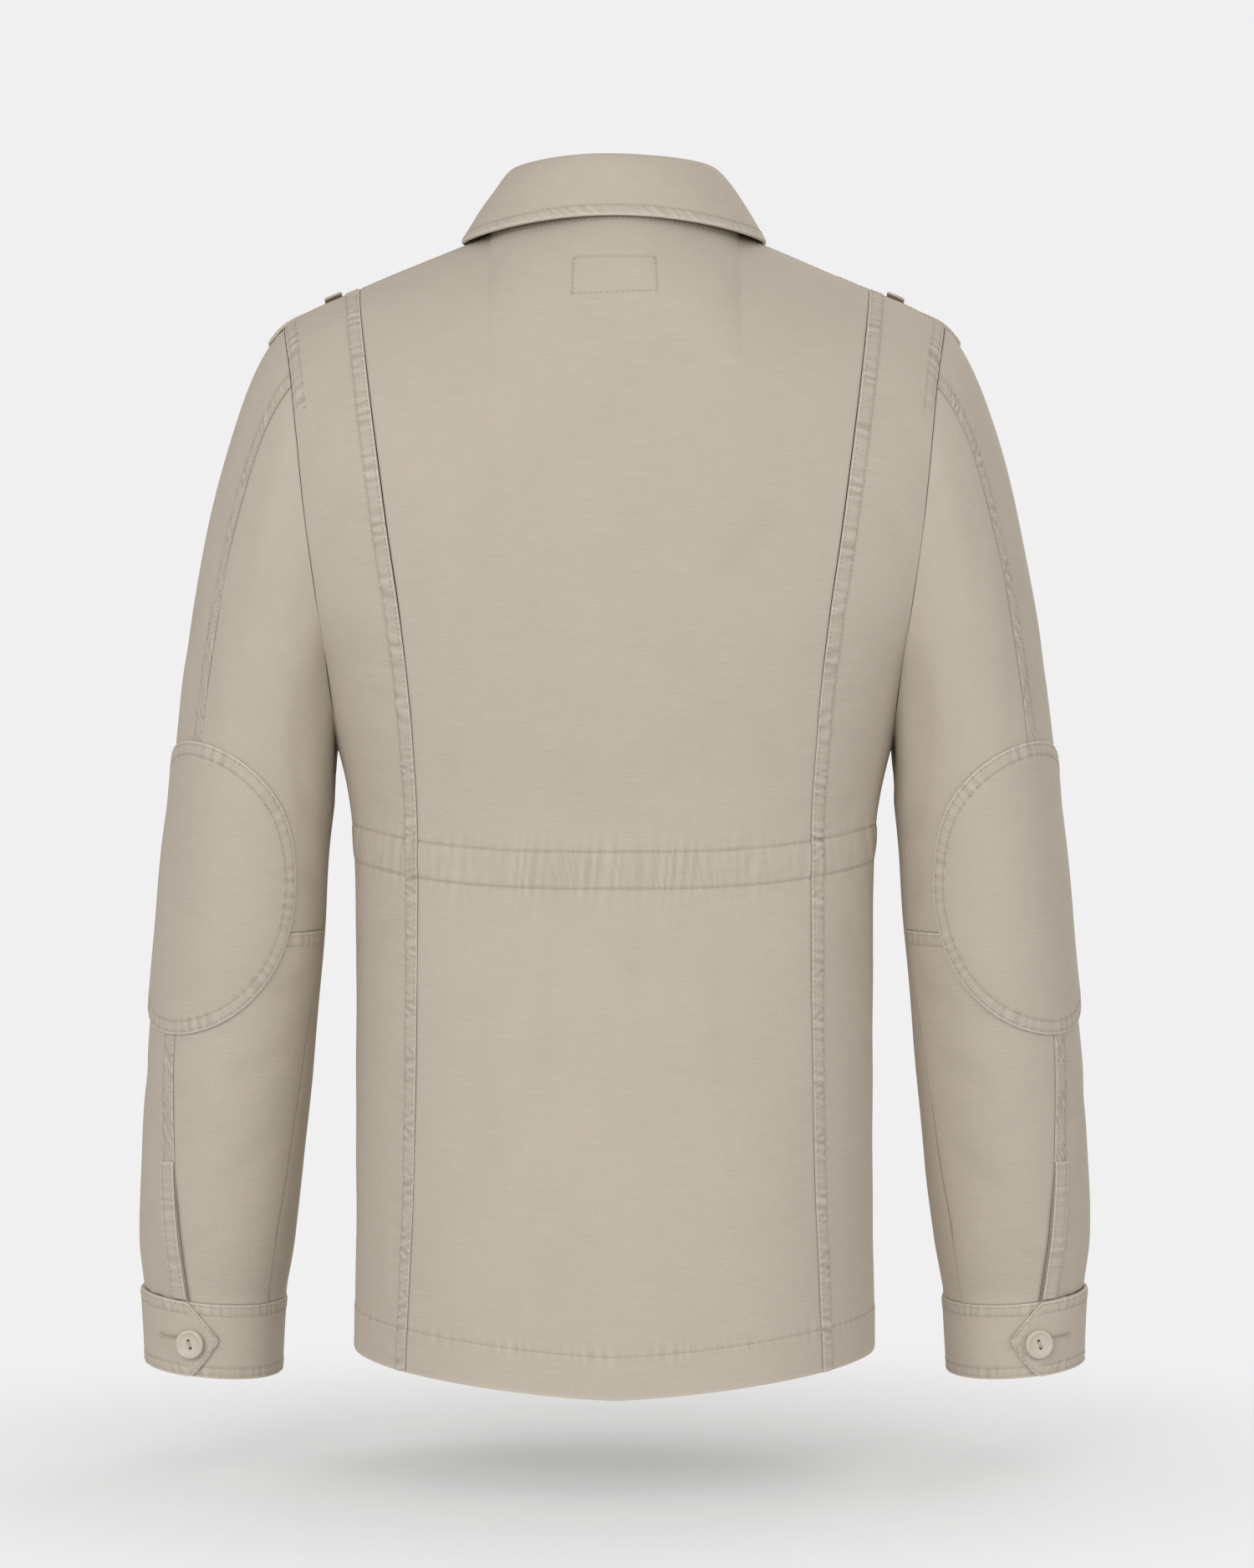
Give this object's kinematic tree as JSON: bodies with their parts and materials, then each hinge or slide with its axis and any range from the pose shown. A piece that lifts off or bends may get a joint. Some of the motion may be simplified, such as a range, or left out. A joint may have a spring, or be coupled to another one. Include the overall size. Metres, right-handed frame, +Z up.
{
  "type": "military jacket",
  "caption": "Military jacket in beige cotton twill, worn form: gathered waist, elbow patches, shoulder straps, fold-down collar, buttoned front and cuffs",
  "frame": {"origin": "midway between the two points where the shoulder seams meet the neckline, where the jacket rests on the wearer", "axes": "+Z up, the front faces -Y, the wearer's left is towards +X"},
  "size_m": [0.5592, 0.2647, 0.7138],
  "materials": {
    "cotton_twill": "garment-washed cotton twill, matte beige",
    "elbow_twill": "the same twill, laid on as a patch",
    "button_resin": "cast polyester button, matte beige"
  },
  "bodies": {
    "root": {"back_centre_panel": "cotton_twill", "back_side_panel_left": "cotton_twill", "back_side_panel_right": "cotton_twill", "front_left": "cotton_twill", "front_right": "cotton_twill", "sleeve_top_left": "cotton_twill", "sleeve_top_right": "cotton_twill", "undersleeve_upper_left": "cotton_twill", "undersleeve_upper_right": "cotton_twill", "undersleeve_lower_left": "cotton_twill", "undersleeve_lower_right": "cotton_twill", "sleeve_placket_left": "cotton_twill", "sleeve_placket_right": "cotton_twill", "cuff_left": "cotton_twill", "cuff_right": "cotton_twill", "shoulder_strap_left": "cotton_twill", "shoulder_strap_right": "cotton_twill", "strap_carrier_left": "cotton_twill", "strap_carrier_right": "cotton_twill", "collar_stand": "cotton_twill", "collar_leaf": "cotton_twill", "elbow_patch_left": "elbow_twill", "elbow_patch_right": "elbow_twill", "cuff_button_left": "button_resin", "cuff_button_right": "button_resin", "front_button_1": "button_resin", "front_button_2": "button_resin", "front_button_3": "button_resin", "front_button_4": "button_resin", "front_button_5": "button_resin"}
  },
  "joints": []
}
